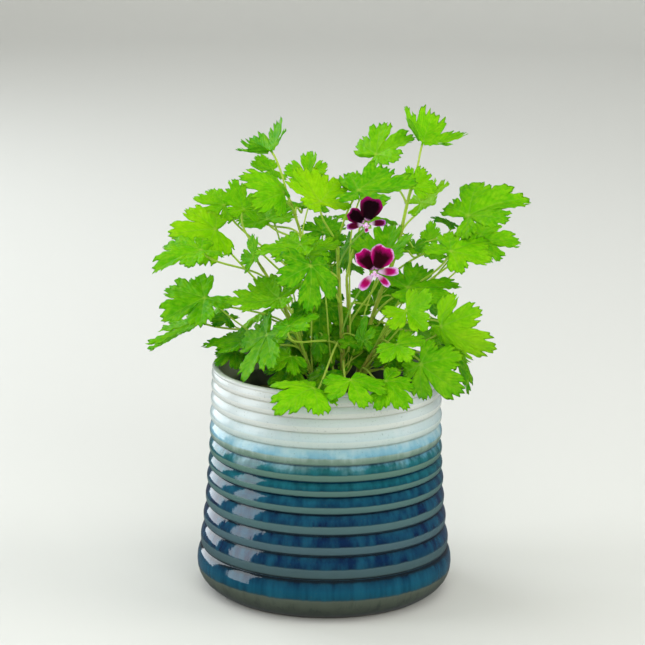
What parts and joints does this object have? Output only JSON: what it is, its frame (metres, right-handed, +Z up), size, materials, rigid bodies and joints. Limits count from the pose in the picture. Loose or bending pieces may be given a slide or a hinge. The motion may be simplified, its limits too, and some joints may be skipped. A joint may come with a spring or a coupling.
{
  "type": "potted lemon geranium",
  "caption": "Lemon-scented geranium with toothed palmate leaves and two two-tone flowers, growing in a ribbed, blue-glazed ceramic cover pot.",
  "frame": {"origin": "centre of the cover pot's flat underside", "axes": "+Z up along the pot's axis, -Y towards the side with the flowers, +X to that side's right"},
  "size_m": [0.2661, 0.2099, 0.3428],
  "materials": {
    "glazed_pot": "gloss",
    "nursery_plastic": "satin",
    "soil": "matte",
    "stem": "satin",
    "leaf": "satin",
    "calyx": "satin",
    "petal_dark": "satin",
    "petal_pale": "satin"
  },
  "bodies": {
    "root": {"cover_pot": "glazed_pot", "nursery_pot": "nursery_plastic", "soil": "soil", "stem_left": "stem", "stem_centre": "stem", "stem_right": "stem", "leaf_01": "leaf", "leaf_02": "leaf", "leaf_03": "leaf", "leaf_04": "leaf", "leaf_05": "leaf", "leaf_06": "leaf", "leaf_07": "leaf", "leaf_08": "leaf", "leaf_09": "leaf", "leaf_10": "leaf", "leaf_11": "leaf", "leaf_12": "leaf", "leaf_13": "leaf", "leaf_14": "leaf", "leaf_15": "leaf", "leaf_16": "leaf", "leaf_17": "leaf", "leaf_18": "leaf", "leaf_19": "leaf", "leaf_20": "leaf", "leaf_21": "leaf", "leaf_22": "leaf", "leaf_23": "leaf", "leaf_24": "leaf", "leaf_25": "leaf", "leaf_26": "leaf", "leaf_27": "leaf", "leaf_28": "leaf", "leaf_29": "leaf", "leaf_30": "leaf", "leaf_31": "leaf", "leaf_32": "leaf", "leaf_33": "leaf", "leaf_34": "leaf", "leaf_35": "leaf", "leaf_36": "leaf", "leaf_37": "leaf", "leaf_38": "leaf", "leaf_39": "leaf", "leaf_40": "leaf", "leaf_41": "leaf", "leaf_42": "leaf", "upper_flower_stalk": "calyx", "upper_flower_petal_top_left": "petal_dark", "upper_flower_petal_top_right": "petal_dark", "upper_flower_petal_left": "petal_dark", "upper_flower_petal_right": "petal_dark", "upper_flower_petal_bottom": "petal_pale", "lower_flower_stalk": "calyx", "lower_flower_petal_top_left": "petal_dark", "lower_flower_petal_top_right": "petal_dark", "lower_flower_petal_left": "petal_pale", "lower_flower_petal_right": "petal_pale", "lower_flower_petal_bottom": "petal_pale"}
  },
  "joints": []
}
